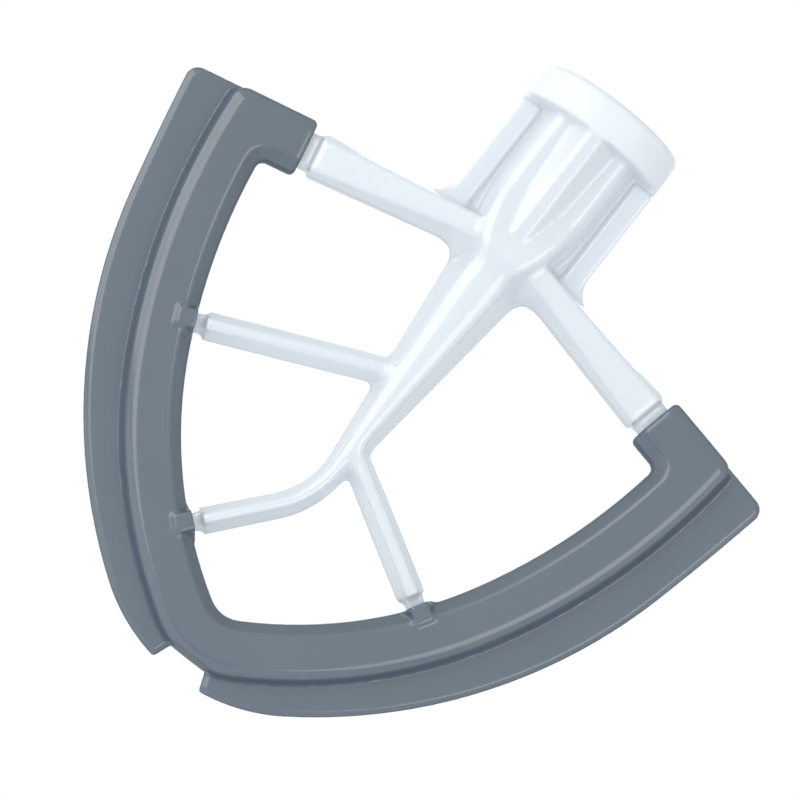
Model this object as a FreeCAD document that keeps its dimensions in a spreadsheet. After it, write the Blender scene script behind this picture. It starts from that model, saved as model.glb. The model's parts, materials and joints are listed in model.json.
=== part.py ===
import FreeCAD, Part
import math
import os
import Sketcher
from FreeCAD import Placement, Rotation, Vector

# Flat beater of a tilt-head stand mixer: one coated casting and the silicone edge moulded over its rim.
# Millimetres. +Z runs up the drive shaft, X is the width, the face turned to the cook looks along -Y.
# The origin is the mouth of the drive socket, in the middle of the collar's top face.

doc = FreeCAD.newDocument("FlatBeater")
sizes = doc.addObject("Spreadsheet::Sheet", "Sizes")

dimensions = {
    # Collar and drive socket
    "collarRadius": 15.3,
    "collarHeight": 7.4,
    "collarRounding": 1.5,
    "collarBevel": 0.35,
    "boreRadius": 6.5,
    "boreDepth": 26.0,
    "boreChamfer": 0.4,
    "pinSlotWidth": 5.4,
    "pinReach": 12.6,
    "pinWindowHeight": 5.6,
    "pinTurn": 48.0,
    # Rib under the front of the collar
    "ribCrestHalf": 1.4,
    "ribRootHalf": 3.3,
    "ribFootReach": 10.5,
    "ribFootZ": -31.2,
    "ribRounding": 0.7,
    # Wings at both sides of the hub column
    "webHalfDepth": 2.3,
    "wingHalfDepth": 3.4,
    "wingInnerX": 11.2,
    "wingTopGap": 1.0,
    "wingLandingHalf": 3.5,
    "wingFootZ": -36.0,
    "armRootFillet": 5.0,
    # Column, foot and spine: half width at the parting line, half width of the front, half depth
    "columnHalfWidth": 10.3,
    "columnFrontHalf": 7.7,
    "columnHalfDepth": 8.9,
    "columnPartingHalf": 2.2,
    "columnRounding": 1.7,
    "columnFootZ": -20.0,
    "flareZ": -26.2,
    "flareHalfWidth": 9.9,
    "flareFrontHalf": 7.3,
    "flareHalfDepth": 9.5,
    "flarePartingHalf": 1.9,
    "bulgeZ": -32.4,
    "bulgeHalfWidth": 8.9,
    "bulgeFrontHalf": 6.3,
    "bulgeHalfDepth": 10.3,
    "bulgePartingHalf": 1.3,
    "spineTopZ": -38.5,
    "spineTopHalfWidth": 7.9,
    "spineTopFrontHalf": 2.9,
    "spineTopHalfDepth": 9.4,
    "spineTopRounding": 2.2,
    "spineEndZ": -85.0,
    "spineEndHalfWidth": 2.6,
    "spineEndFrontHalf": 0.7,
    "spineEndHalfDepth": 4.2,
    "spineEndRounding": 0.8,
    "spineTopPartingHalf": 0.9,
    "spineEndPartingHalf": 0.9,
    # Tail: the spine's curved end
    "tailBend": 18.5,
    "tailTurn": 40.0,
    "tailLength": 14.6,
    # Arms
    "armAxisZ": -32.45,
    "armDrop": 12.2,
    "armOverlap": 3.0,
    "armLength": 39.9,
    "armRootHalf": 3.3,
    "armEndHalf": 4.3,
    "armRootDepth": 9.2,
    "armEndDepth": 5.0,
    "armRootParting": 1.2,
    "armEndParting": 2.6,
    "armTopSlope": 1.5,
    "armRootLowSlope": 2.3,
    "armEndLowSlope": 0.7,
    "armFlareRadius": 3.3,
    "armFlareAlong": 12.6,
    "armFlareTurn": 84.0,
    # Spokes
    "spokeHalf": 2.8,
    "spokePartingHalf": 0.9,
    "spokeFrontHalf": 0.9,
    "spokeRootDepth": 4.6,
    "spokeEndDepth": 3.9,
    "upperSpokeZ": -62.9,
    "upperSpokeDrop": 24.1,
    "upperSpokeLength": 39.1,
    "lowerSpokeZ": -80.0,
    "lowerSpokeDrop": 30.4,
    "lowerSpokeLength": 29.9,
    "neckHalfWidth": 1.75,
    "neckHalfDepth": 2.4,
    "neckLength": 1.9,
    # Bead of the edge: three arcs from the tip to the shoulder, each tangent to the next
    "tipCentreZ": -113.42,
    "tipRadius": 5.99,
    "tipAngle": 30.75,
    "flankRadius": 83.63,
    "flankAngle": 61.54,
    "sideRadius": 115.43,
    "beadWidth": 10.9,
    "beadHalfDepth": 5.3,
    "beadShoulder": 2.6,
    "beadSlopeWidth": 2.5,
    "beadSlopeDepth": 4.1,
    "beadInnerCorner": 1.5,
    "beadOuterCorner": 3.0,
    "sleeveStart": 42.0,
    "sleeveChamfer": 0.6,
    "tipFlatZ": -129.45,
    "tipFlatHalf": 8.0,
    # Rim of the casting inside the bead
    "rimWall": 2.0,
    "rimHalfDepth": 3.3,
    "rimBevel": 0.8,
    "rimStart": 36.0,
    # Fin: three arcs of its own
    "finCentreZ": -98.01,
    "finTipRadius": 35.85,
    "finTipAngle": 34.91,
    "finFlankRadius": 104.28,
    "finFlankAngle": 76.15,
    "finSideRadius": 510.18,
    "finHalfDepth": 1.3,
    "finBevelWidth": 0.9,
    "finBevelDepth": 0.8,
    "finCorner": 2.5,
    "notchInnerHalf": 3.85,
    "notchOuterHalf": 5.3,
    "notchInnerZ": -129.5,
    # Lugs that take the spokes and the tail
    "lugFrontHalf": 1.7,
    "lugBaseHalf": 3.4,
    "lugHalfDepth": 5.9,
    "lugPartingHalf": 1.2,
    "lugRounding": 0.4,
    "lugLength": 3.6,
}

for row, (alias, size) in enumerate(dimensions.items(), start=1):
    sizes.set(f"A{row}", alias)
    sizes.set(f"B{row}", str(size))
    sizes.setAlias(f"B{row}", alias)
doc.recompute()


def size(alias):
    """A cell's name as expressions write it."""
    return f"Sizes.{alias}"


def number(formula):
    """The value of a formula over the sheet."""
    return float(sizes.evalExpression(formula))


def originPlane(body, role):
    return [feature for feature in body.Origin.OriginFeatures if feature.Role == role][0]


def newSketch(body, name, role, x="0", y="0", z="0", turn="0"):
    """An empty sketch on an origin plane, moved by x, y, z in that plane's frame and turned about Y."""
    sketch = body.newObject("Sketcher::SketchObject", name)
    sketch.AttachmentSupport = (originPlane(body, role), "")
    sketch.MapMode = "FlatFace"
    place = Vector(number(x), number(y), number(z))
    sketch.AttachmentOffset = Placement(place, Rotation(Vector(0, 1, 0), number(turn)))
    for axis, formula in (("x", x), ("y", y), ("z", z)):
        if formula != "0":
            sketch.setExpression(f".AttachmentOffset.Base.{axis}", formula)
    if turn != "0":
        sketch.setExpression(".AttachmentOffset.Rotation.Angle", turn)
    return sketch


class Constraints:
    """Collects a sketch's constraints, and the formulas that drive them, and adds them in one go."""

    def __init__(self, sketch):
        self.sketch = sketch
        self.items = []
        self.formulas = []

    def add(self, *definition):
        self.items.append(Sketcher.Constraint(*definition))

    def drive(self, formula, *definition):
        self.formulas.append((len(self.items), formula))
        self.add(*definition)

    def pin(self, geometry, end, x, y):
        """Holds one end of a line or arc at formulas x, y."""
        for kind, axis, formula in (("DistanceX", -2, x), ("DistanceY", -1, y)):
            if formula == "0":
                self.add("PointOnObject", geometry, end, axis)
            else:
                self.drive(formula, kind, -1, 1, geometry, end, number(formula))

    def finish(self):
        self.sketch.addConstraint(self.items)
        for index, formula in self.formulas:
            self.sketch.setExpression(f"Constraints[{index}]", formula)


def drawRounded(sketch, corners):
    """A closed outline of straight edges through corners (x, y, rounding), given as formulas, anticlockwise."""
    points = [Vector(number(x), number(y), 0) for x, y, rounding in corners]
    ends = []
    arcs = []
    for index, (x, y, rounding) in enumerate(corners):
        corner = points[index]
        toLast = (points[index - 1] - corner).normalize()
        toNext = (points[(index + 1) % len(points)] - corner).normalize()
        if rounding == "0":
            ends.append((corner, corner))
            arcs.append(None)
            continue
        radius = number(rounding)
        half = toLast.getAngle(toNext) / 2
        first = corner + toLast * (radius / math.tan(half))
        last = corner + toNext * (radius / math.tan(half))
        centre = corner + (toLast + toNext).normalize() * (radius / math.sin(half))
        convex = (toNext.cross(toLast)).z > 0
        start, stop = (first, last) if convex else (last, first)
        angles = [math.atan2((end - centre).y, (end - centre).x) for end in (start, stop)]
        ends.append((first, last))
        arcs.append((Part.ArcOfCircle(Part.Circle(centre, Vector(0, 0, 1), radius), *angles), convex))
    constraints = Constraints(sketch)
    count = len(corners)
    for index in range(count):
        sketch.addGeometry(Part.LineSegment(ends[index][1], ends[(index + 1) % count][0]), False)
    for index, (x, y, rounding) in enumerate(corners):
        before = (index - 1) % count
        if arcs[index] is None:
            constraints.add("Coincident", before, 2, index, 1)
            constraints.pin(index, 1, x, y)
            continue
        arc, convex = arcs[index]
        arcId = sketch.addGeometry(arc, False)
        pointId = sketch.addGeometry(Part.Point(points[index]), True)
        constraints.pin(pointId, 1, x, y)
        constraints.add("PointOnObject", pointId, 1, before)
        constraints.add("PointOnObject", pointId, 1, index)
        constraints.add("Tangent", before, 2, arcId, 1 if convex else 2)
        constraints.add("Tangent", index, 1, arcId, 2 if convex else 1)
        constraints.drive(rounding, "Radius", arcId, number(rounding))
    constraints.finish()


def mirroredCorners(half):
    """Corners (across, depth, rounding) of one half, as a closed outline that is the same front and back."""
    front = [(x, f"-({y})", rounding) for x, y, rounding in half]
    back = [(x, y, rounding) for x, y, rounding in reversed(half)]
    return front + back


def barCorners(highHalf, lowHalf, highFront, lowFront, depth, parting, rounding="0"):
    """A cast bar's section: a flat front, sloping flanks and a narrow land at the parting line."""
    half = [
        (f"-({highHalf})", parting, "0"),
        (f"-({highFront})", depth, rounding),
        (lowFront, depth, rounding),
        (lowHalf, parting, "0"),
    ]
    return mirroredCorners(half)


def sectionSketch(body, name, corners, x="0", z="0", turn="0"):
    """A section across a bar whose axis passes x, z and leans from +Z by turn degrees about Y."""
    sketch = newSketch(body, name, "XY_Plane", x=x, z=z, turn=turn)
    drawRounded(sketch, corners)
    return sketch


def newBody(name):
    return doc.addObject("PartDesign::Body", name)


def addLoft(body, name, sections, ruled):
    loft = body.newObject("PartDesign::AdditiveLoft", name)
    loft.Profile = sections[0]
    loft.Sections = sections[1:]
    loft.Ruled = ruled
    return loft


def addPad(body, name, sketch, length, both=False, back=False):
    pad = body.newObject("PartDesign::Pad", name)
    pad.Profile = sketch
    pad.setExpression("Length", length)
    pad.Midplane = both
    pad.Reversed = back
    return pad


def mirrorAcrossAxis(body, name, features):
    mirrored = body.newObject("PartDesign::Mirrored", name)
    mirrored.Originals = features
    mirrored.MirrorPlane = (originPlane(body, "YZ_Plane"), [""])
    body.Tip = mirrored
    return mirrored


def edgeNames(shape, chosen):
    return [f"Edge{index}" for index, edge in enumerate(shape.Edges, start=1) if chosen(edge)]


def addDressUp(body, feature, name, base, chosen, extent):
    """A Fillet or Chamfer of the chosen edges."""
    doc.recompute()
    dressUp = body.newObject("PartDesign::" + feature, name)
    dressUp.Base = (base, edgeNames(base.Shape, chosen))
    dressUp.setExpression("Radius" if feature == "Fillet" else "Size", extent)
    return dressUp


def addFillet(body, name, base, chosen, radius):
    return addDressUp(body, "Fillet", name, base, chosen, radius)


# Collar and the column, foot and spine under it


def makeCollar():
    body = newBody("Collar")
    sketch = newSketch(body, "CollarCircle", "XY_Plane")
    sketch.addGeometry(Part.Circle(Vector(0, 0, 0), Vector(0, 0, 1), number(size("collarRadius"))), False)
    constraints = Constraints(sketch)
    constraints.add("Coincident", 0, 3, -1, 1)
    constraints.drive(size("collarRadius"), "Radius", 0, number(size("collarRadius")))
    constraints.finish()
    pad = addPad(body, "CollarPad", sketch, size("collarHeight"), back=True)
    low = -number(size("collarHeight")) + 0.01
    top = addFillet(body, "CollarTopEdge", pad, lambda edge: edge.Closed and edge.BoundBox.ZMax > -0.01,
                    size("collarRounding"))
    addDressUp(body, "Chamfer", "CollarLowerEdge", top,
               lambda edge: edge.Closed and edge.BoundBox.ZMax < low, size("collarBevel"))
    return body


def stationSketch(body, name, z, halfWidth, frontHalf, halfDepth, parting, rounding):
    corners = barCorners(halfWidth, halfWidth, frontHalf, frontHalf, halfDepth, parting, rounding)
    return sectionSketch(body, name, corners, z=z)


def makeSpine():
    """The hub's column, the foot that swells out under it, and the tapering spine."""
    body = newBody("Spine")
    names = ("HalfWidth", "FrontHalf", "HalfDepth", "PartingHalf")
    column, flare, bulge, top, end = [
        stationSketch(body, part.capitalize() + "Section", size(z), *[size(stem + name) for name in names],
                      size(rounding))
        for part, stem, z, rounding in (
            ("column", "column", "columnFootZ", "columnRounding"),
            ("flare", "flare", "flareZ", "columnRounding"),
            ("bulge", "bulge", "bulgeZ", "spineTopRounding"),
            ("spineTop", "spineTop", "spineTopZ", "spineTopRounding"),
            ("spineEnd", "spineEnd", "spineEndZ", "spineEndRounding"))
    ]
    addPad(body, "ColumnPad", column, f"-({size('columnFootZ')}) - {size('collarHeight')} / 2")
    addLoft(body, "FootLoft", [column, flare, bulge, top], ruled=False)
    addLoft(body, "SpineLoft", [top, end], ruled=True)
    return body


def makeTail():
    body = newBody("Tail")
    section = stationSketch(body, "TailSection", size("spineEndZ"), size("spineEndHalfWidth"),
                            size("spineEndFrontHalf"), size("spineEndHalfDepth"),
                            size("spineEndPartingHalf"), size("spineEndRounding"))
    path = newSketch(body, "TailPath", "XZ_Plane")
    bend = number(size("tailBend"))
    turn = math.radians(number(size("tailTurn")))
    top = number(size("spineEndZ"))
    centre = Vector(-bend, top, 0)
    bendEnd = centre + Vector(bend * math.cos(turn), -bend * math.sin(turn), 0)
    tailEnd = bendEnd + Vector(-math.sin(turn), -math.cos(turn), 0) * number(size("tailLength"))
    arc = path.addGeometry(Part.ArcOfCircle(Part.Circle(centre, Vector(0, 0, 1), bend), -turn, 0), False)
    line = path.addGeometry(Part.LineSegment(bendEnd, tailEnd), False)
    constraints = Constraints(path)
    constraints.pin(arc, 2, "0", size("spineEndZ"))
    constraints.pin(arc, 3, f"-{size('tailBend')}", size("spineEndZ"))
    constraints.add("Tangent", line, 1, arc, 1)
    constraints.drive(size("tailLength"), "Distance", line, number(size("tailLength")))
    constraints.drive(f"-90 - {size('tailTurn')}", "Angle", line, -math.pi / 2 - turn)
    constraints.finish()
    pipe = body.newObject("PartDesign::AdditivePipe", "TailSweep")
    pipe.Profile = section
    pipe.Spine = path
    return body


# Rib and wings under the collar


def makeRib():
    body = newBody("Rib")
    foot = f"({size('ribFootReach')})"
    slope = f"({size('ribRootHalf')} - {size('ribCrestHalf')}) / ({size('collarRadius')} - {size('columnHalfDepth')})"
    stations = [
        ("RibTop", f"-({size('collarHeight')}) / 2", size("collarRadius")),
        ("RibFoot", size("ribFootZ"), foot),
    ]
    inner = f"{size('columnHalfDepth')} / 2 + {size('boreRadius')} / 2"
    sections = []
    for name, z, reach in stations:
        root = f"{size('ribCrestHalf')} + ({reach} - {inner}) * {slope}"
        corners = [
            (f"-({size('ribCrestHalf')})", f"-({reach})", size("ribRounding")),
            (size("ribCrestHalf"), f"-({reach})", size("ribRounding")),
            (root, f"-({inner})", "0"),
            (f"-({root})", f"-({inner})", "0"),
        ]
        sections.append(sectionSketch(body, name, corners, z=z))
    addLoft(body, "RibLoft", sections, ruled=True)
    return body


def wingOutline(sketch, innerX, topZ):
    """A wing seen from the front: straight down the hub, then round into the arm's top edge."""
    radius = number(size("armRootFillet"))
    drop = math.radians(number(size("armDrop")))
    sideX = number(size("collarRadius"))
    rise = number(size("wingLandingHalf")) / math.cos(drop)
    cornerZ = number(size("armAxisZ")) + rise - sideX * math.tan(drop)
    reach = radius * math.tan(math.radians(45) - drop / 2)
    arcTop = Vector(sideX, cornerZ + reach, 0)
    arcEnd = Vector(sideX + reach * math.cos(drop), cornerZ - reach * math.sin(drop), 0)
    centre = Vector(sideX + radius, cornerZ + reach, 0)
    inner = number(innerX)
    top = number(topZ)
    foot = number(size("wingFootZ"))
    points = [Vector(inner, top, 0), Vector(inner, foot, 0), Vector(arcEnd.x, foot, 0), arcEnd, arcTop,
              Vector(sideX, top, 0)]
    lines = [(0, 1), (1, 2), (2, 3), (4, 5), (5, 0)]
    for start, stop in lines:
        sketch.addGeometry(Part.LineSegment(points[start], points[stop]), False)
    angles = [math.pi, math.pi + math.radians(90) - drop]
    arc = sketch.addGeometry(Part.ArcOfCircle(Part.Circle(centre, Vector(0, 0, 1), radius), *angles), False)
    constraints = Constraints(sketch)
    constraints.pin(0, 1, innerX, topZ)
    constraints.pin(1, 1, innerX, size("wingFootZ"))
    constraints.add("Coincident", 0, 2, 1, 1)
    constraints.add("Coincident", 1, 2, 2, 1)
    constraints.add("Horizontal", 1)
    constraints.add("Vertical", 2)
    constraints.add("Coincident", 2, 2, arc, 2)
    constraints.add("Tangent", 3, 1, arc, 1)
    constraints.add("Vertical", 3)
    constraints.add("Coincident", 3, 2, 4, 1)
    constraints.add("Coincident", 4, 2, 0, 1)
    constraints.add("Horizontal", 4)
    constraints.drive(size("collarRadius"), "DistanceX", -1, 1, 3, 1, sideX)
    constraints.drive(size("armRootFillet"), "Radius", arc, radius)
    slope = f"tan({size('armDrop')})"
    rise = f"{size('wingLandingHalf')} / cos({size('armDrop')})"
    reach = f"{size('armRootFillet')} * tan(45 - {size('armDrop')} / 2)"
    arcTopZ = f"{size('armAxisZ')} + {rise} - {size('collarRadius')} * {slope} + {reach}"
    constraints.drive(arcTopZ, "DistanceY", -1, 1, 3, 1, arcTop.y)
    arcEndX = f"{size('collarRadius')} + {reach} * cos({size('armDrop')})"
    constraints.drive(arcEndX, "DistanceX", -1, 1, 2, 2, arcEnd.x)
    constraints.finish()


def makeWings():
    body = newBody("Wings")
    web = newSketch(body, "WebOutline", "XZ_Plane")
    wingOutline(web, "-1", f"-({size('collarHeight')}) / 2")
    webPad = addPad(body, "WebPad", web, f"{size('webHalfDepth')} * 2", both=True)
    lobe = newSketch(body, "LobeOutline", "XZ_Plane")
    wingOutline(lobe, size("wingInnerX"), f"-({size('collarHeight')} + {size('wingTopGap')})")
    lobePad = addPad(body, "LobePad", lobe, f"{size('wingHalfDepth')} * 2", both=True)
    mirrorAcrossAxis(body, "BothWings", [webPad, lobePad])
    return body


# Arms and spokes


def armShare(root, end, along):
    """A size that changes evenly from the arm's root to its end, taken at a distance along it."""
    share = f"({along} + {size('armOverlap')}) / ({size('armLength')} + {size('armOverlap')})"
    return f"({size(root)} + ({size(end)} - {size(root)}) * {share})"


def armSection(body, name, along, extra="0"):
    """A section across the right arm; extra widens its underside."""
    half = armShare("armRootHalf", "armEndHalf", along)
    lowFront = f"{half} - {armShare('armRootLowSlope', 'armEndLowSlope', along)}"
    corners = barCorners(half, f"{half} + {extra}", f"{half} - {size('armTopSlope')}", lowFront,
                         armShare("armRootDepth", "armEndDepth", along),
                         armShare("armRootParting", "armEndParting", along))
    x = f"{along} * cos({size('armDrop')})"
    z = f"{size('armAxisZ')} - {along} * sin({size('armDrop')})"
    return sectionSketch(body, name, corners, x=x, z=z, turn=f"90 + {size('armDrop')}")


def makeArms():
    """Both arms; towards the spine the underside of each curves down into the spine's side."""
    body = newBody("Arms")
    root = armSection(body, "ArmRoot", f"(-({size('armOverlap')}))")
    end = armSection(body, "ArmEnd", size("armLength"))
    arm = addLoft(body, "ArmLoft", [root, end], ruled=True)
    radius = size("armFlareRadius")
    sections = []
    for step in range(4):
        turn = f"{size('armFlareTurn')} * {step} / 3"
        along = f"({size('armFlareAlong')} - {radius} * sin({turn}))"
        sections.append(armSection(body, f"ArmFlare{step}", along, f"{radius} * (1 - cos({turn}))"))
    flare = addLoft(body, "ArmFlareLoft", sections, ruled=False)
    root = addPad(body, "ArmFlareRoot", sections[-1], f"{size('armFlareAlong')} / 2", back=True)
    mirrorAcrossAxis(body, "BothArms", [arm, flare, root])
    return body


def makeSpoke(name, side, startZ, drop, length):
    """A spoke from the spine to the neck that its lug holds; side is 1 for the right, -1 for the left."""
    body = newBody(name)
    turn = f"{side} * (90 + {size(drop)})"
    sections = []
    for station, along, depth in (("Root", "0", "spokeRootDepth"), ("End", size(length), "spokeEndDepth")):
        corners = barCorners(size("spokeHalf"), size("spokeHalf"), size("spokeFrontHalf"),
                             size("spokeFrontHalf"), size(depth), size("spokePartingHalf"))
        x = f"{side} * {along} * cos({size(drop)})"
        z = f"{size(startZ)} - {along} * sin({size(drop)})"
        sections.append(sectionSketch(body, name + station, corners, x=x, z=z, turn=turn))
    addLoft(body, name + "Loft", sections, ruled=True)
    addNeck(body, name, f"{side} * {size(length)} * cos({size(drop)})",
            f"{size(startZ)} - {size(length)} * sin({size(drop)})", turn)
    return body


def addNeck(body, name, x, z, turn):
    """The thin neck that runs from a bar's end into the rim."""
    width = size("neckHalfWidth")
    depth = size("neckHalfDepth")
    corners = mirroredCorners([(f"-({width})", depth, "0"), (width, depth, "0")])
    sketch = sectionSketch(body, name + "NeckSection", corners, x=x, z=z, turn=turn)
    length = f"{size('neckLength')} + {size('rimWall')} + {size('beadWidth')} / 2"
    addPad(body, name + "Neck", sketch, length)


# Rim and bead: the same three arcs at two widths


def tipJunction(offset):
    """Where the tip arc meets the flank arc, offset outwards from the bead's inner edge."""
    x = f"({size('tipRadius')} + {offset}) * sin({size('tipAngle')})"
    z = f"{size('tipCentreZ')} - ({size('tipRadius')} + {offset}) * cos({size('tipAngle')})"
    return x, z


def flankCentre():
    x = f"({size('tipRadius')} - {size('flankRadius')}) * sin({size('tipAngle')})"
    z = f"{size('tipCentreZ')} - ({size('tipRadius')} - {size('flankRadius')}) * cos({size('tipAngle')})"
    return x, z


def sideCentre():
    x, z = flankCentre()
    x = f"{x} + ({size('flankRadius')} - {size('sideRadius')}) * sin({size('flankAngle')})"
    z = f"{z} - ({size('flankRadius')} - {size('sideRadius')}) * cos({size('flankAngle')})"
    return x, z


def flankJunction(offset):
    x, z = flankCentre()
    x = f"{x} + ({size('flankRadius')} + {offset}) * sin({size('flankAngle')})"
    z = f"{z} - ({size('flankRadius')} + {offset}) * cos({size('flankAngle')})"
    return x, z


def sleevePoint(along, across):
    """A point at a distance along the arm's axis and across it, upwards."""
    x = f"({along}) * cos({size('armDrop')}) + ({across}) * sin({size('armDrop')})"
    z = f"{size('armAxisZ')} - ({along}) * sin({size('armDrop')}) + ({across}) * cos({size('armDrop')})"
    return x, z


def point(formulas):
    return Vector(number(formulas[0]), number(formulas[1]), 0)


def arcBetween(centre, radius, start, stop):
    """An arc about centre, anticlockwise from start to stop."""
    angles = [math.atan2(end.y - centre.y, end.x - centre.x) for end in (start, stop)]
    return Part.ArcOfCircle(Part.Circle(centre, Vector(0, 0, 1), radius), *angles)


def sleeveCorner(centre, radius, across):
    """Where the side arc meets the straight edge of the sleeve."""
    drop = math.radians(number(size("armDrop")))
    along = Vector(math.cos(drop), -math.sin(drop), 0)
    onLine = point(sleevePoint("0", across))
    middle = onLine + along * (centre - onLine).dot(along)
    rise = (middle - centre).Length
    return middle + along * math.sqrt(radius ** 2 - rise ** 2)


def drawBand(sketch, inner, outer, start):
    """Half of the band seen from the front: from the tip, up the side and in along the arm."""
    constraints = Constraints(sketch)
    zero = Vector(0, 0, 0)
    half = f"{size('beadWidth')} / 2"
    tipCentre = Vector(0, number(size("tipCentreZ")), 0)
    flankMiddle = point(flankCentre())
    sideMiddle = point(sideCentre())
    chains = []
    for offset in (inner, outer):
        across = f"({offset}) - {half}"
        radii = [f"{size(part)} + ({offset})" for part in ("tipRadius", "flankRadius", "sideRadius")]
        base = ("0", f"{size('tipCentreZ')} - {size('tipRadius')} - ({offset})")
        corner = sleeveCorner(sideMiddle, number(radii[2]), across)
        ends = [point(base), point(tipJunction(offset)), point(flankJunction(offset)), corner]
        end = sleevePoint(start, across)
        ids = []
        for centre, radius, first, last in zip((tipCentre, flankMiddle, sideMiddle), radii, ends, ends[1:]):
            ids.append(sketch.addGeometry(arcBetween(centre, number(radius), first, last), False))
        line = sketch.addGeometry(Part.LineSegment(corner, point(end)), False)
        constraints.pin(ids[0], 1, *base)
        constraints.pin(ids[0], 2, *tipJunction(offset))
        constraints.pin(ids[1], 2, *flankJunction(offset))
        constraints.add("Coincident", ids[0], 2, ids[1], 1)
        constraints.add("Coincident", ids[1], 2, ids[2], 1)
        constraints.add("Coincident", ids[2], 2, line, 1)
        for arc, radius in zip(ids, radii):
            constraints.drive(radius, "Radius", arc, number(radius))
        constraints.drive(sideCentre()[0], "DistanceX", -1, 1, ids[2], 3, sideMiddle.x)
        constraints.pin(line, 2, *end)
        angle = math.radians(180 - number(size("armDrop")))
        constraints.drive(f"180 - {size('armDrop')}", "Angle", line, angle)
        chains.append((ids[0], line, point(base), point(end)))
    tipLine = sketch.addGeometry(Part.LineSegment(chains[0][2], chains[1][2]), False)
    endLine = sketch.addGeometry(Part.LineSegment(chains[0][3], chains[1][3]), False)
    constraints.add("Coincident", tipLine, 1, chains[0][0], 1)
    constraints.add("Coincident", tipLine, 2, chains[1][0], 1)
    constraints.add("Coincident", endLine, 1, chains[0][1], 2)
    constraints.add("Coincident", endLine, 2, chains[1][1], 2)
    constraints.finish()


def alongSleeve(place):
    """How far a place lies along the arm's axis, on the right or the left."""
    drop = math.radians(number(size("armDrop")))
    return abs(place.x) * math.cos(drop) - (place.z - number(size("armAxisZ"))) * math.sin(drop)


def acrossSleeve(place):
    """How far a place lies above the arm's axis, across it."""
    drop = math.radians(number(size("armDrop")))
    return abs(place.x) * math.sin(drop) + (place.z - number(size("armAxisZ"))) * math.cos(drop)


def isThrough(edge):
    """A straight edge that runs front to back."""
    box = edge.BoundBox
    return box.XLength < 0.001 and box.ZLength < 0.001


def cutTipFlat(body, name):
    """A flat across the outer side of a band's tip."""
    sketch = newSketch(body, name + "Outline", "XZ_Plane")
    wide, high = size("tipFlatHalf"), size("tipFlatZ")
    low = f"{high} - {size('beadWidth')}"
    places = [(f"-{wide}", high), (wide, high), (wide, low), (f"-{wide}", low)]
    constraints = Constraints(sketch)
    for index, place in enumerate(places):
        sketch.addGeometry(Part.LineSegment(asVector(place), asVector(places[(index + 1) % 4])), False)
    for index, place in enumerate(places):
        constraints.add("Coincident", (index - 1) % 4, 2, index, 1)
        constraints.pin(index, 1, *place)
    constraints.finish()
    pocket = body.newObject("PartDesign::Pocket", name)
    pocket.Profile = (sketch, [""])
    pocket.Midplane = True
    pocket.setExpression("Length", f"{size('beadHalfDepth')} * 2.2")
    return pocket


def asVector(formulas):
    spot = point(formulas)
    return Vector(spot.x, spot.y, 0)


def makeBand(name, inner, outer, start, halfDepth, innerRadius, outerRadius, feature, extent, isBead=False):
    """A band of one width from one arm round the tip to the other; feature and extent treat its long edges."""
    body = newBody(name)
    sketch = newSketch(body, name + "Outline", "XZ_Plane")
    drawBand(sketch, inner, outer, start)
    pad = addPad(body, name + "Pad", sketch, f"({halfDepth}) * 2", both=True)
    both = mirrorAcrossAxis(body, name + "Both", [pad])
    middle = number(f"{size('sideRadius')} + (({inner}) + ({outer})) / 2")
    centre = point(sideCentre())

    def fromSideCentre(edge):
        place = edge.BoundBox.Center
        return math.hypot(abs(place.x) - centre.x, place.z - centre.y)

    def isShoulderCorner(edge):
        return isThrough(edge) and alongSleeve(edge.BoundBox.Center) > number(start) + 2

    innerCorner = addFillet(body, name + "InnerCorner", both,
                            lambda edge: isShoulderCorner(edge) and fromSideCentre(edge) < middle, innerRadius)
    outerCorner = addFillet(body, name + "OuterCorner", innerCorner,
                            lambda edge: isShoulderCorner(edge) and fromSideCentre(edge) > middle, outerRadius)
    face = number(halfDepth)

    def isLongEdge(edge):
        box = edge.BoundBox
        onFace = box.YLength < 0.001 and abs(abs(box.Center.y) - face) < 0.001
        ends = [alongSleeve(vertex.Point) for vertex in edge.Vertexes]
        return onFace and max(ends) > number(start) + 0.001

    if not isBead:
        addDressUp(body, feature, name + "LongEdges", outerCorner, isLongEdge, extent)
        return body
    innerRadii = [number(f"{size(part)} + ({inner})") for part in ("tipRadius", "flankRadius", "sideRadius")]
    innerRadii.append(number(innerRadius))

    def isInnerEdge(edge):
        if edge.Curve.TypeId == "Part::GeomCircle":
            return isLongEdge(edge) and min(abs(edge.Curve.Radius - radius) for radius in innerRadii) < 0.001
        return isLongEdge(edge) and acrossSleeve(edge.BoundBox.Center) < 0

    slope = outerCorner
    for side, first, second in ((1, "beadSlopeWidth", "beadSlopeDepth"), (-1, "beadSlopeDepth", "beadSlopeWidth")):
        doc.recompute()
        before = slope
        slope = body.newObject("PartDesign::Chamfer", name + ("BackSlope" if side == 1 else "FrontSlope"))
        slope.Base = (before, edgeNames(before.Shape, lambda edge: isInnerEdge(edge) and edge.BoundBox.Center.y * side > 0))
        slope.ChamferType = "Two distances"
        slope.setExpression("Size", size(first))
        slope.setExpression("Size2", size(second))

    def isOuterEdge(edge):
        if edge.Curve.TypeId == "Part::GeomCircle":
            radii = [radius + number(outer) - number(inner) for radius in innerRadii[:3]] + [number(outerRadius)]
            return isLongEdge(edge) and min(abs(edge.Curve.Radius - radius) for radius in radii) < 0.001
        return isLongEdge(edge) and acrossSleeve(edge.BoundBox.Center) > number(size("beadWidth")) / 2 - 0.001

    longEdges = addDressUp(body, feature, name + "LongEdges", slope, isOuterEdge, extent)
    flat = cutTipFlat(body, name + "TipFlat")

    def isMouthEdge(edge):
        ends = [alongSleeve(vertex.Point) for vertex in edge.Vertexes]
        return all(abs(end - number(start)) < 0.001 for end in ends)

    addDressUp(body, "Chamfer", name + "Mouths", flat, isMouthEdge, size("sleeveChamfer"))
    return body


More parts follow.
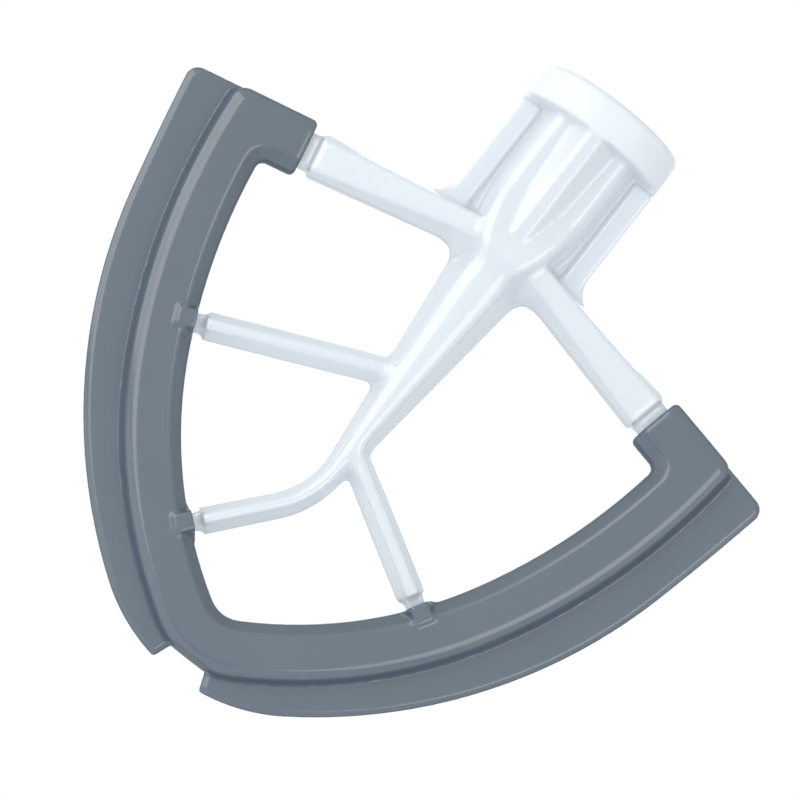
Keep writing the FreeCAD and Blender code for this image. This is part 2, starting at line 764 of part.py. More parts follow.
def finJunctions():
    """The two ends of the fin's middle arc and the centre of its side arc."""
    tip = f"{size('finTipRadius')}"
    flankX = f"({tip} - {size('finFlankRadius')}) * sin({size('finTipAngle')})"
    flankZ = f"{size('finCentreZ')} - ({tip} - {size('finFlankRadius')}) * cos({size('finTipAngle')})"
    sideX = f"{flankX} + ({size('finFlankRadius')} - {size('finSideRadius')}) * sin({size('finFlankAngle')})"
    sideZ = f"{flankZ} - ({size('finFlankRadius')} - {size('finSideRadius')}) * cos({size('finFlankAngle')})"
    low = (f"{tip} * sin({size('finTipAngle')})", f"{size('finCentreZ')} - {tip} * cos({size('finTipAngle')})")
    high = (f"{flankX} + {size('finFlankRadius')} * sin({size('finFlankAngle')})",
            f"{flankZ} - {size('finFlankRadius')} * cos({size('finFlankAngle')})")
    return low, high, (flankX, flankZ), (sideX, sideZ)


def makeFin(name, side):
    """The thin scraping fin outside the bead on one side: 1 for the right, -1 for the left."""
    body = newBody(name)
    sketch = newSketch(body, name + "Outline", "XZ_Plane")
    low, high, flankMiddle, sideMiddle = finJunctions()
    tipCentre = ("0", size("finCentreZ"))
    outerX = size("notchOuterHalf")
    outerZ = f"{size('finCentreZ')} - sqrt({size('finTipRadius')} ^ 2 - {outerX} ^ 2)"
    half = f"{size('beadWidth')} / 2"
    corner = sleeveCorner(point(sideMiddle), number(size("finSideRadius")), half)
    cornerAlong = alongSleeve(Vector(corner.x, 0, corner.y))
    beadTip = tipJunction(half)
    beadFlank = flankJunction(half)
    sleeve = sleevePoint(f"{size('sleeveStart')} + {size('beadWidth')}", half)
    beadSide = sleevePoint(f"{size('sleeveStart')} + {size('beadWidth')}", "0")

    def place(formulas):
        spot = point(formulas)
        return Vector(side * spot.x, spot.y, 0)

    def across(formula):
        return formula if formula == "0" or side == 1 else f"-({formula})"

    cornerPlace = Vector(side * corner.x, corner.y, 0)
    outline = [(outerX, outerZ), low, high, None, sleeve, beadSide, beadFlank, beadTip,
               (size("notchInnerHalf"), f"{size('notchInnerZ')} + {size('beadShoulder')}"),
               (size("notchInnerHalf"), size("notchInnerZ"))]
    places = [cornerPlace if spot is None else place(spot) for spot in outline]
    arcs = {0: (tipCentre, size("finTipRadius")), 1: (flankMiddle, size("finFlankRadius")),
            2: (sideMiddle, size("finSideRadius"))}
    constraints = Constraints(sketch)
    ends = []
    for index, first in enumerate(places):
        last = places[(index + 1) % len(places)]
        if index in arcs:
            centre, radius = arcs[index]
            start, stop = (first, last) if side == 1 else (last, first)
            sketch.addGeometry(arcBetween(place(centre), number(radius), start, stop), False)
            ends.append((1, 2) if side == 1 else (2, 1))
            constraints.drive(radius, "Radius", index, number(radius))
        else:
            sketch.addGeometry(Part.LineSegment(first, last), False)
            ends.append((1, 2))
    for index, spot in enumerate(outline):
        before = index - 1 if index else len(outline) - 1
        constraints.add("Coincident", before, ends[before][1], index, ends[index][0])
        if spot is not None:
            constraints.pin(index, ends[index][0], across(spot[0]), spot[1])
    constraints.drive(across(sideMiddle[0]), "DistanceX", -1, 1, 2, 3, place(sideMiddle).x)
    slope = 180 - number(size("armDrop")) if side == 1 else number(size("armDrop"))
    formula = f"180 - {size('armDrop')}" if side == 1 else size("armDrop")
    constraints.drive(formula, "Angle", 3, math.radians(slope))
    constraints.finish()
    pad = addPad(body, name + "Pad", sketch, f"{size('finHalfDepth')} * 2", both=True)
    rounded = addFillet(body, name + "Corner", pad,
                        lambda edge: isThrough(edge) and abs(alongSleeve(edge.BoundBox.Center) - cornerAlong) < 0.1,
                        size("finCorner"))
    doc.recompute()
    bevel = body.newObject("PartDesign::Chamfer", name + "Bevel")
    face = number(size("finHalfDepth"))
    radii = [number(size(part)) for part in ("finTipRadius", "finFlankRadius", "finSideRadius")]

    def isOuterEdge(edge):
        box = edge.BoundBox
        onFace = box.YLength < 0.001 and abs(abs(box.Center.y) - face) < 0.001
        if edge.Curve.TypeId == "Part::GeomCircle":
            return onFace and min(abs(edge.Curve.Radius - radius) for radius in radii) < 0.001
        return onFace and box.ZMin < number(outerZ) + 0.001

    bevel.Base = (rounded, edgeNames(rounded.Shape, isOuterEdge))
    bevel.ChamferType = "Two distances"
    bevel.setExpression("Size", size("finBevelWidth"))
    bevel.setExpression("Size2", size("finBevelDepth"))
    return body


# Lugs


def makeLug(name, x, z, turn):
    """A lug on the bead's inner shoulder that closes round a neck; x, z lie in its mouth."""
    body = newBody(name)
    half = [
        (f"-({size('lugBaseHalf')})", size("lugPartingHalf"), "0"),
        (f"-({size('lugFrontHalf')})", size("lugHalfDepth"), size("lugRounding")),
        (size("lugFrontHalf"), size("lugHalfDepth"), size("lugRounding")),
        (size("lugBaseHalf"), size("lugPartingHalf"), "0"),
    ]
    sketch = sectionSketch(body, name + "Section", mirroredCorners(half), x=x, z=z, turn=turn)
    addPad(body, name + "Pad", sketch, size("lugLength"))
    return body


def spokeMouth(side, startZ, drop, length):
    """Where the neck of a spoke enters its lug."""
    along = f"({size(length)} + {size('neckLength')})"
    x = f"{side} * {along} * cos({size(drop)})"
    z = f"{size(startZ)} - {along} * sin({size(drop)})"
    return x, z, f"{side} * (90 + {size(drop)})"


def tailEnd(extra):
    """A place past the end of the tail by the length extra, and the tail's lean."""
    along = f"({size('tailLength')} + ({extra}))"
    x = f"-{size('tailBend')} * (1 - cos({size('tailTurn')})) - {along} * sin({size('tailTurn')})"
    z = f"{size('spineEndZ')} - {size('tailBend')} * sin({size('tailTurn')}) - {along} * cos({size('tailTurn')})"
    return x, z, f"180 + {size('tailTurn')}"




# Drive socket: a blind bore with a slot at the back for the shaft's cross pin, and the window it turns into


def makeBore():
    body = newBody("Bore")
    sketch = newSketch(body, "BoreCircle", "XY_Plane")
    sketch.addGeometry(Part.Circle(Vector(0, 0, 0), Vector(0, 0, 1), number(size("boreRadius"))), False)
    constraints = Constraints(sketch)
    constraints.add("Coincident", 0, 3, -1, 1)
    constraints.drive(size("boreRadius"), "Radius", 0, number(size("boreRadius")))
    constraints.finish()
    addPad(body, "BorePad", sketch, size("boreDepth"), back=True)
    profile = newSketch(body, "BoreMouthProfile", "XZ_Plane")
    mouth = f"{size('boreRadius')} + {size('boreChamfer')}"
    drawRounded(profile, [("0", f"-({size('boreRadius')}) - {size('boreChamfer')}", "0"), (mouth, "0", "0"),
                          ("0", "0", "0")])
    cone = body.newObject("PartDesign::Revolution", "BoreMouth")
    cone.Profile = profile
    cone.ReferenceAxis = (profile, ["V_Axis"])
    return body


def makePinSlot():
    """The straight way down through the collar for the cross pin."""
    body = newBody("PinSlot")
    half = f"{size('pinSlotWidth')} / 2"
    reach = size("pinReach")
    corners = [(f"-({half})", "0", "0"), (half, "0", "0"), (half, reach, "0"), (f"-({half})", reach, "0")]
    sketch = sectionSketch(body, "PinSlotOutline", corners)
    addPad(body, "PinSlotPad", sketch, f"{size('collarHeight')} + {size('pinWindowHeight')}", back=True)
    return body


def makePinWindow():
    """The window under the collar in which the pin turns away from its slot."""
    body = newBody("PinWindow")
    sketch = newSketch(body, "PinWindowSector", "XY_Plane", z=f"-({size('collarHeight')})")
    reach = number(size("pinReach"))
    turn = number(size("pinTurn"))
    first = Vector(0, reach, 0)
    last = Vector(-reach * math.sin(math.radians(turn)), reach * math.cos(math.radians(turn)), 0)
    centre = Vector(0, 0, 0)
    arc = sketch.addGeometry(arcBetween(centre, reach, first, last), False)
    down = sketch.addGeometry(Part.LineSegment(last, centre), False)
    up = sketch.addGeometry(Part.LineSegment(centre, first), False)
    constraints = Constraints(sketch)
    constraints.add("Coincident", arc, 3, -1, 1)
    constraints.add("Coincident", down, 2, -1, 1)
    constraints.add("Coincident", up, 1, -1, 1)
    constraints.add("Coincident", up, 2, arc, 1)
    constraints.add("Coincident", down, 1, arc, 2)
    constraints.add("Vertical", up)
    constraints.drive(size("pinReach"), "Radius", arc, reach)
    constraints.drive(f"-90 + {size('pinTurn')}", "Angle", down, math.radians(turn - 90))
    constraints.finish()
    addPad(body, "PinWindowPad", sketch, size("pinWindowHeight"), back=True)
    return body


# Whole pieces


def fuse(name, pieces):
    whole = doc.addObject("Part::MultiFuse", name)
    whole.Shapes = pieces
    whole.Refine = True
    return whole


def cut(name, base, tool):
    rest = doc.addObject("Part::Cut", name)
    rest.Base = base
    rest.Tool = tool
    rest.Refine = True
    return rest


tail = makeTail()
addNeck(tail, "Tail", *tailEnd("0"))
bars = [makeCollar(), makeSpine(), tail, makeRib(), makeWings(), makeArms(),
        makeSpoke("UpperSpoke", "-1", "upperSpokeZ", "upperSpokeDrop", "upperSpokeLength"),
        makeSpoke("LowerSpoke", "1", "lowerSpokeZ", "lowerSpokeDrop", "lowerSpokeLength")]
rim = makeBand("Rim", size("rimWall"), f"{size('beadWidth')} - {size('rimWall')}", size("rimStart"),
               size("rimHalfDepth"), f"{size('beadInnerCorner')} + {size('rimWall')}",
               f"{size('beadOuterCorner')} - {size('rimWall')}", "Chamfer", size("rimBevel"))
socket = fuse("DriveSocket", [makeBore(), makePinSlot(), makePinWindow()])
casting = cut("BeaterCasting", fuse("CastingBlank", bars + [rim]), socket)
casting.Label = "beater_casting"

bead = makeBand("Bead", "0", size("beadWidth"), size("sleeveStart"), size("beadHalfDepth"),
                size("beadInnerCorner"), size("beadOuterCorner"), "Fillet", size("beadShoulder"), isBead=True)
lugs = [makeLug("UpperLug", *spokeMouth("-1", "upperSpokeZ", "upperSpokeDrop", "upperSpokeLength")),
        makeLug("LowerLug", *spokeMouth("1", "lowerSpokeZ", "lowerSpokeDrop", "lowerSpokeLength")),
        makeLug("TailLug", *tailEnd(size("neckLength")))]
fins = [makeFin("RightFin", 1), makeFin("LeftFin", -1)]
edge = cut("FlexEdge", fuse("EdgeBlank", [bead] + fins + lugs), casting)
edge.Label = "flex_edge"

doc.recompute()
for item in doc.Objects:
    if "Invalid" in item.State or "Error" in item.State:
        raise RuntimeError(f"{item.Label} did not recompute")

os.makedirs("parts", exist_ok=True)
for piece in (casting, edge):
    if piece.Shape.isNull() or not piece.Shape.isValid() or len(piece.Shape.Solids) != 1:
        raise RuntimeError(f"{piece.Label} is not one sound solid")
    piece.Shape.exportStep(os.path.join("parts", piece.Label + ".step"))
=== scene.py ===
import json
import math

import bpy
import bmesh
from mathutils import Matrix, Vector
from mathutils.bvhtree import BVHTree

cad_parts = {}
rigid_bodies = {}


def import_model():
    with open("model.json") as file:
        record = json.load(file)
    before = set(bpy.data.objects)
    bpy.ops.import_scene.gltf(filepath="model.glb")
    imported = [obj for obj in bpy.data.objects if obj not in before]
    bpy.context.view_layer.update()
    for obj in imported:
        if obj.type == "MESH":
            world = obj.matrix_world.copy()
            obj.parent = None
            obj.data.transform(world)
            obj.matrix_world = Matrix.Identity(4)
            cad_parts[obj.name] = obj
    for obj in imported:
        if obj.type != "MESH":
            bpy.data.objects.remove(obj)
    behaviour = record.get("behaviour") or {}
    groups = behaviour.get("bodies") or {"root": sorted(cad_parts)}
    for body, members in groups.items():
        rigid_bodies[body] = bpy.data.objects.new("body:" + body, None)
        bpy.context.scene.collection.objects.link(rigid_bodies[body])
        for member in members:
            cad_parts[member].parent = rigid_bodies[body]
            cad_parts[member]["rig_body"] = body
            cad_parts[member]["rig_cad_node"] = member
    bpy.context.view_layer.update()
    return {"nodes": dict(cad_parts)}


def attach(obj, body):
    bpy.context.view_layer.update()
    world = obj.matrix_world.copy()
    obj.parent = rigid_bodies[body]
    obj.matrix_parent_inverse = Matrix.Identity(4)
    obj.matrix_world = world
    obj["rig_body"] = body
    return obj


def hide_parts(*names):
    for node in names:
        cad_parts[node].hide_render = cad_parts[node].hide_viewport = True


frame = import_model()
print("frame loaded:", ", ".join(sorted(frame["nodes"])))

mm = 0.001


# Camera: in front of the beater, a little below it, rolled as the beater leans in the photograph

camera = {
    "target": (0.00145, 0.0, -0.0673),
    "distance": 2.6,
    "elevation": -8.4,          # degrees
    "roll": 38.05,              # degrees
    "frameWidth": 0.1485,       # what the picture shows across at the target
    "sensorWidth": 36.0,        # millimetres
    "nearest": 0.01,
    "farthest": 20.0,
}


def makeCamera():
    elevation = math.radians(camera["elevation"])
    roll = math.radians(camera["roll"])
    towards = Vector((0, -math.cos(elevation), math.sin(elevation)))
    level = Vector((1, 0, 0))
    upright = towards.cross(level)
    right = level * math.cos(roll) + upright * math.sin(roll)
    up = upright * math.cos(roll) - level * math.sin(roll)
    place = Vector(camera["target"]) + towards * camera["distance"]
    data = bpy.data.cameras.new("photoCamera")
    data.sensor_width = camera["sensorWidth"]
    data.lens = camera["sensorWidth"] * camera["distance"] / camera["frameWidth"]
    data.clip_start = camera["nearest"]
    data.clip_end = camera["farthest"]
    photoCamera = bpy.data.objects.new("photoCamera", data)
    bpy.context.collection.objects.link(photoCamera)
    turn = Matrix((right, up, towards)).transposed().to_4x4()
    photoCamera.matrix_world = Matrix.Translation(place) @ turn
    bpy.context.scene.camera = photoCamera


makeCamera()
print("camera placed")


# Selection and small edits

weldDistance = 0.001 * mm


def makeActive(piece):
    bpy.ops.object.select_all(action="DESELECT")
    piece.hide_set(False)
    piece.select_set(True)
    bpy.context.view_layer.objects.active = piece


def startEditing(piece, kind):
    # edit mode with nothing selected
    makeActive(piece)
    bpy.ops.object.mode_set(mode="EDIT")
    bpy.ops.mesh.select_mode(type=kind)
    bpy.ops.mesh.select_all(action="DESELECT")
    return bmesh.from_edit_mesh(piece.data)


def selectFaces(piece, chosen):
    # leaves the piece in edit mode with the chosen faces selected
    mesh = startEditing(piece, "FACE")
    for face in mesh.faces:
        face.select_set(chosen(face.calc_center_median()))
    bmesh.update_edit_mesh(piece.data)


def copyNode(node, name):
    # a copy with welded corners, because a CAD node's triangles are loose
    piece = frame["nodes"][node].copy()
    piece.data = piece.data.copy()
    piece.name = name
    piece.data.name = name
    piece.parent = None
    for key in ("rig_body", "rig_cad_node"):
        del piece[key]
    bpy.context.collection.objects.link(piece)
    makeActive(piece)
    bpy.ops.object.mode_set(mode="EDIT")
    bpy.ops.mesh.select_all(action="SELECT")
    bpy.ops.mesh.remove_doubles(threshold=weldDistance)
    bpy.ops.object.mode_set(mode="OBJECT")
    return piece


def duplicate(source, name):
    piece = source.copy()
    piece.data = source.data.copy()
    piece.name = name
    piece.data.name = name
    bpy.context.collection.objects.link(piece)
    return piece


def applyModifier(piece, name, kind, **settings):
    makeActive(piece)
    modifier = piece.modifiers.new(name, kind)
    for key, value in settings.items():
        setattr(modifier, key, value)
    bpy.ops.object.modifier_apply(modifier=name)


def evenOut(piece, voxel):
    # gives a piece small faces of one size
    applyModifier(piece, "evenFaces", "REMESH", mode="VOXEL", voxel_size=voxel,
                  adaptivity=0, use_smooth_shade=True)


def soften(piece, rounds, softness):
    # rounds the edges of a piece with even faces, by a softness from 0 to 1 at each place
    group = piece.vertex_groups.new(name="softness")
    for corner in piece.data.vertices:
        group.add([corner.index], softness(corner.co), "REPLACE")
    applyModifier(piece, "softEdges", "SMOOTH",
                  factor=0.5, iterations=rounds, vertex_group="softness")
    piece.vertex_groups.clear()


def shadeSmooth(piece):
    makeActive(piece)
    bpy.ops.object.shade_smooth()
    print(piece.name, "triangles:", sum(len(face.vertices) - 2 for face in piece.data.polygons))


def smoothStep(value, start, end):
    share = min(max((value - start) / (end - start), 0.0), 1.0)
    return share * share * (3 - 2 * share)


# Casting: one cast and coated piece, so its edges and junctions are soft

casting = {
    "voxel": 0.40 * mm,
    "smoothing": 24,
    "collarFoot": -8.2 * mm,
    "hubFoot": -33.0 * mm,
    "columnHalf": 10.6 * mm,    # half width of the hub's column
    "spineHalf": 9.0 * mm,      # the bars start farther out than this
    "collarSoftness": 0.2,
    "columnSoftness": 0.15,
    "hubSoftness": 0.5,
    "spineSoftness": 1.0,
    "barSoftness": 0.5,
    "rimDetail": 0.12,          # share of the hidden rim's faces that is kept
    "spine": {
        "top": -36.0 * mm,
        "end": -85.0 * mm,
        "topHalfWidth": 8.2 * mm,
        "endHalfWidth": 2.6 * mm,
        "topHalfDepth": 9.6 * mm,
        "endHalfDepth": 4.2 * mm,
        "swelling": 0.22,               # how much wider its front and back become
        "swellingStart": (0, 0.15),     # shares of the length where it comes in and goes out
        "swellingEnd": (0.5, 1),
        "swellingDepth": (0.45, 0.85),  # share of the half depth where it comes in
        "swellingSide": (0.6, 1.4),     # share of the half width where it goes out
        "smoothing": 48,                # more rounds of it for the front and back
        "roundStart": (0, 0.1),
        "roundEnd": (0.9, 1.1),
        "roundDepth": (0.15, 0.5),
        "roundSide": (0.9, 1.5),
        "sideRoundness": 0.5,
    },
    # the bars, in mm and degrees, each with the distance along it to the cut inside its sleeve
    "bars": {
        "rightArm": {"startZ": -32.45, "side": 1, "drop": 12.2, "along": 45.0},
        "leftArm": {"startZ": -32.45, "side": -1, "drop": 12.2, "along": 45.0},
        "upperSpoke": {"startZ": -62.9, "side": -1, "drop": 24.1, "along": 42.2},
        "lowerSpoke": {"startZ": -80.0, "side": 1, "drop": 30.4, "along": 33.0},
    },
    "tail": {"startZ": -85.0, "bend": 18.5, "turn": 40.0, "along": 17.6},
    "cutReach": 11.0 * mm,      # a cut goes through the faces within this distance
}


def barCut(bar):
    # the middle of the cut across a bar, and the bar's heading there
    drop = math.radians(bar["drop"])
    heading = Vector((bar["side"] * math.cos(drop), 0, -math.sin(drop)))
    return (Vector((0, 0, bar["startZ"])) + heading * bar["along"]) * mm, heading


def tailCut(tail):
    turn = math.radians(tail["turn"])
    heading = Vector((-math.sin(turn), 0, -math.cos(turn)))
    bendEnd = Vector((-tail["bend"] * (1 - math.cos(turn)), 0,
                      tail["startZ"] - tail["bend"] * math.sin(turn)))
    return (bendEnd + heading * tail["along"]) * mm, heading


def keepPart(piece, keepRim):
    # cuts the bars inside their sleeves and keeps the bars' side or the rim's side
    for place, heading in [*map(barCut, casting["bars"].values()), tailCut(casting["tail"])]:
        selectFaces(piece, lambda centre: (centre - place).length < casting["cutReach"])
        bpy.ops.mesh.bisect(plane_co=place, plane_no=heading, use_fill=True,
                            clear_inner=keepRim, clear_outer=not keepRim)
        bpy.ops.object.mode_set(mode="OBJECT")
    mesh = startEditing(piece, "VERT")
    top = max(mesh.verts, key=lambda corner: corner.co.z)
    top.select_set(True)
    bmesh.update_edit_mesh(piece.data)
    bpy.ops.mesh.select_linked()
    if not keepRim:
        bpy.ops.mesh.select_all(action="INVERT")
    bpy.ops.mesh.delete(type="VERT")
    bpy.ops.object.mode_set(mode="OBJECT")


def castingSoftness(place):
    # how far the casting's edges are rounded off at a place
    across = abs(place.x)
    if place.z > casting["collarFoot"]:
        return casting["collarSoftness"]
    if place.z > casting["hubFoot"]:
        return casting["columnSoftness" if across < casting["columnHalf"] else "hubSoftness"]
    return casting["spineSoftness" if across < casting["spineHalf"] else "barSoftness"]


def spineAt(place):
    # the share of the spine's length down to a place, and its half width and half depth there
    spine = casting["spine"]
    along = (spine["top"] - place.z) / (spine["top"] - spine["end"])
    halfWidth = spine["topHalfWidth"] + (spine["endHalfWidth"] - spine["topHalfWidth"]) * along
    halfDepth = spine["topHalfDepth"] + (spine["endHalfDepth"] - spine["topHalfDepth"]) * along
    return along, halfWidth, halfDepth


def widenSpine(piece):
    # the spine's front and back swell out to broad faces, and its sides stay where they are
    spine = casting["spine"]
    for corner in piece.data.vertices:
        place = corner.co
        along, halfWidth, halfDepth = spineAt(place)
        if not 0 < along < 1:
            continue
        share = smoothStep(along, *spine["swellingStart"])
        share *= 1 - smoothStep(along, *spine["swellingEnd"])
        share *= smoothStep(abs(place.y) / halfDepth, *spine["swellingDepth"])
        share *= 1 - smoothStep(abs(place.x) / halfWidth, *spine["swellingSide"])
        place.x *= 1 + spine["swelling"] * share


def spineRoundness(place):
    # 1 on the spine's broad and rounded front and back, less on its sides and 0 on all else
    spine = casting["spine"]
    along, halfWidth, halfDepth = spineAt(place)
    if not 0 < along < spine["roundEnd"][1]:
        return 0
    share = smoothStep(along, *spine["roundStart"])
    share *= 1 - smoothStep(along, *spine["roundEnd"])
    share *= 1 - smoothStep(abs(place.x) / halfWidth, *spine["roundSide"])
    front = smoothStep(abs(place.y) / halfDepth, *spine["roundDepth"])
    return share * (spine["sideRoundness"] + (1 - spine["sideRoundness"]) * front)


def makeCasting():
    whole = copyNode("beater_casting", "castingCoat")
    evenOut(whole, casting["voxel"])
    widenSpine(whole)
    soften(whole, casting["smoothing"], castingSoftness)
    soften(whole, casting["spine"]["smoothing"], spineRoundness)
    rim = duplicate(whole, "castingRim")
    keepPart(whole, keepRim=False)
    keepPart(rim, keepRim=True)
    applyModifier(rim, "plainRim", "DECIMATE", ratio=casting["rimDetail"])
    for piece in (whole, rim):
        piece.data.validate()
        shadeSmooth(piece)
        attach(piece, "root")
        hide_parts("beater_casting")
    return whole, rim


castingCoat, castingRim = makeCasting()


# Flexible edge: moulded over the rim, with soft edges

flexEdge = {
    "voxel": 0.42 * mm,
    "smoothing": 6,
    "softness": 0.6,
    "seatGap": 0.02 * mm,       # faces nearer than this to the casting lie on its rim
    # the bead's outer line, in mm: radius, and the angle from straight down where it ends
    "outerLine": [(16.89, 30.75), (94.53, 61.54), (126.33, 180.0)],
    "tipCentre": -113.42,
    # the bead's outer wall runs out a little to the fin, in mm
    "wallFoot": {
        "from": 1.3,            # depths between which it slopes
        "to": 3.0,
        "finShare": 0.01,       # share of the slope's height that stays with the fin
        "reach": 0.25,
        "inside": 0.25,         # the wall's corners lie this far inside and outside the line
        "outside": 0.8,
        "notch": (5.0, 7.5),    # it comes in between these distances from the notch at the tip
    },
}


def deleteSeat(piece):
    # the faces that lie on the casting's rim are out of sight: they go, and the mouths are closed
    node = frame["nodes"]["beater_casting"].data
    castingFaces = BVHTree.FromPolygons([corner.co for corner in node.vertices],
                                        [face.vertices for face in node.polygons])
    selectFaces(piece, lambda centre: castingFaces.find_nearest(centre)[3] < flexEdge["seatGap"])
    bpy.ops.mesh.delete(type="FACE")
    bpy.ops.mesh.select_all(action="SELECT")
    bpy.ops.mesh.fill_holes(sides=0)
    bpy.ops.mesh.select_all(action="SELECT")
    bpy.ops.mesh.normals_make_consistent(inside=False)
    bpy.ops.object.mode_set(mode="OBJECT")


def besideOuterLine(place):
    # how far a place is inside the bead's outer line, in mm, and the way out of the bead there
    spot = Vector((abs(place.x), place.z)) / mm
    centre = Vector((0, flexEdge["tipCentre"]))
    for step, (radius, end) in enumerate(flexEdge["outerLine"]):
        out = spot - centre
        if math.degrees(math.atan2(out.x, -out.y)) < end:
            break
        wider = flexEdge["outerLine"][step + 1][0]
        turn = math.radians(end)
        centre = centre + Vector((math.sin(turn), -math.cos(turn))) * (radius - wider)
    inside = radius - out.length
    out = out.normalized()
    return inside, Vector((math.copysign(out.x, place.x), 0, out.y))


def slopeWall(piece):
    # gives the crease between bead and fin a crisp foot in place of a fillet
    foot = flexEdge["wallFoot"]
    for corner in piece.data.vertices:
        place = corner.co
        height = (abs(place.y) / mm - foot["from"]) / (foot["to"] - foot["from"])
        if not foot["finShare"] < height < 1:
            continue
        inside, out = besideOuterLine(place)
        if not -foot["outside"] < inside < foot["inside"]:
            continue
        wanted = -foot["reach"] * smoothStep(abs(place.x) / mm, *foot["notch"]) * (1 - height)
        corner.co = place + out * (inside - wanted) * mm


def makeEdge():
    piece = copyNode("flex_edge", "edgeSkin")
    deleteSeat(piece)
    evenOut(piece, flexEdge["voxel"])
    slopeWall(piece)
    soften(piece, flexEdge["smoothing"], lambda place: flexEdge["softness"])
    shadeSmooth(piece)
    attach(piece, "root")
    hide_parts("flex_edge")
    return piece


edgeSkin = makeEdge()


# Finishes

def addNode(tree, kind, place, **settings):
    node = tree.nodes.new(kind)
    node.location = place
    for key, value in settings.items():
        setattr(node, key, value)
    return node


def addMix(tree, kind, place):
    # the share, the two inputs and the result of a mix node, which has its own sockets per kind
    mix = addNode(tree, "ShaderNodeMix", place, data_type=kind)
    first, result = {"FLOAT": (2, 0), "RGBA": (6, 2)}[kind]
    return mix.inputs[0], mix.inputs[first], mix.inputs[first + 1], mix.outputs[result]


skinDetail = {
    "mottleDetail": 3.0,
    "mottleRoughness": 0.55,
    "grainDetail": 2.0,
    "grainRoughness": 0.5,
    "patches": (0.2, 0.8),      # the colour changes over this range of the mottling
}


def makeUnevenness():
    # slow mottling and a fine skin texture, used by both finishes
    group = bpy.data.node_groups.new("skinUnevenness", "ShaderNodeTree")
    sockets = [
        ("Mottle Scale", "INPUT", "NodeSocketFloat"),
        ("Grain Scale", "INPUT", "NodeSocketFloat"),
        ("Light Color", "INPUT", "NodeSocketColor"),
        ("Dark Color", "INPUT", "NodeSocketColor"),
        ("Smooth Roughness", "INPUT", "NodeSocketFloat"),
        ("Rough Roughness", "INPUT", "NodeSocketFloat"),
        ("Color", "OUTPUT", "NodeSocketColor"),
        ("Roughness", "OUTPUT", "NodeSocketFloat"),
        ("Height", "OUTPUT", "NodeSocketFloat"),
    ]
    for name, way, kind in sockets:
        group.interface.new_socket(name=name, in_out=way, socket_type=kind)
    inputs = addNode(group, "NodeGroupInput", (-900, 0))
    outputs = addNode(group, "NodeGroupOutput", (500, 0))
    place = addNode(group, "ShaderNodeTexCoord", (-900, 300))
    mottle = addNode(group, "ShaderNodeTexNoise", (-600, 200), noise_dimensions="3D")
    mottle.inputs["Detail"].default_value = skinDetail["mottleDetail"]
    mottle.inputs["Roughness"].default_value = skinDetail["mottleRoughness"]
    grain = addNode(group, "ShaderNodeTexNoise", (-600, -100), noise_dimensions="3D")
    grain.inputs["Detail"].default_value = skinDetail["grainDetail"]
    grain.inputs["Roughness"].default_value = skinDetail["grainRoughness"]
    patches = addNode(group, "ShaderNodeMapRange", (-350, 250), interpolation_type="SMOOTHSTEP")
    patches.inputs["From Min"].default_value = skinDetail["patches"][0]
    patches.inputs["From Max"].default_value = skinDetail["patches"][1]
    colourShare, lightColour, darkColour, colour = addMix(group, "RGBA", (150, 250))
    roughShare, smoothest, roughest, roughness = addMix(group, "FLOAT", (150, -50))
    link = group.links.new
    link(place.outputs["Object"], mottle.inputs["Vector"])
    link(place.outputs["Object"], grain.inputs["Vector"])
    link(inputs.outputs["Mottle Scale"], mottle.inputs["Scale"])
    link(inputs.outputs["Grain Scale"], grain.inputs["Scale"])
    link(mottle.outputs["Fac"], patches.inputs["Value"])
    link(patches.outputs["Result"], colourShare)
    link(inputs.outputs["Light Color"], lightColour)
    link(inputs.outputs["Dark Color"], darkColour)
    link(patches.outputs["Result"], roughShare)
    link(inputs.outputs["Smooth Roughness"], smoothest)
    link(inputs.outputs["Rough Roughness"], roughest)
    link(colour, outputs.inputs["Color"])
    link(roughness, outputs.inputs["Roughness"])
    link(grain.outputs["Fac"], outputs.inputs["Height"])
    return group


skinUnevenness = makeUnevenness()

bakedCoating = {
    "light": (0.768, 0.797, 0.848),
    "dark": (0.761, 0.79, 0.842),
    "smooth": 0.26,
    "rough": 0.31,
    "mottleScale": 40.0,
    "grainScale": 600.0,
    "bumpStrength": 0.015,
    "bumpDistance": 0.0002,
    "coat": 1.0,
    "coatRoughness": 0.1,
    "coatIor": 1.7,
    "specular": 0.5,
    "collarFoot": -7.6 * mm,    # above here the coating is duller
    "collarFade": 0.2 * mm,
    "collarColour": (0.84, 0.86, 0.89),
    "collarRoughness": 0.5,
    "collarCoat": 0.1,
}

satinSilicone = {
    "light": (0.11, 0.138, 0.172),
    "dark": (0.103, 0.131, 0.165),
    "smooth": 0.42,
    "rough": 0.48,
    "mottleScale": 70.0,
    "grainScale": 2200.0,
    "bumpStrength": 0.10,
    "bumpDistance": 0.0001,
    "coat": 1.0,
    "coatRoughness": 0.15,
    "coatIor": 1.8,
    "specular": 0.12,
    "dull": (0.3, 0.62),        # the sheen fades between these, from facing (0) to edge on (1)
    "facingBlend": 0.5,
    "creaseDepth": 1.66 * mm,   # middle and half height of the crease beside the fin, where the coat is taken off as painted shade
    "creaseHalf": 0.33 * mm,
}


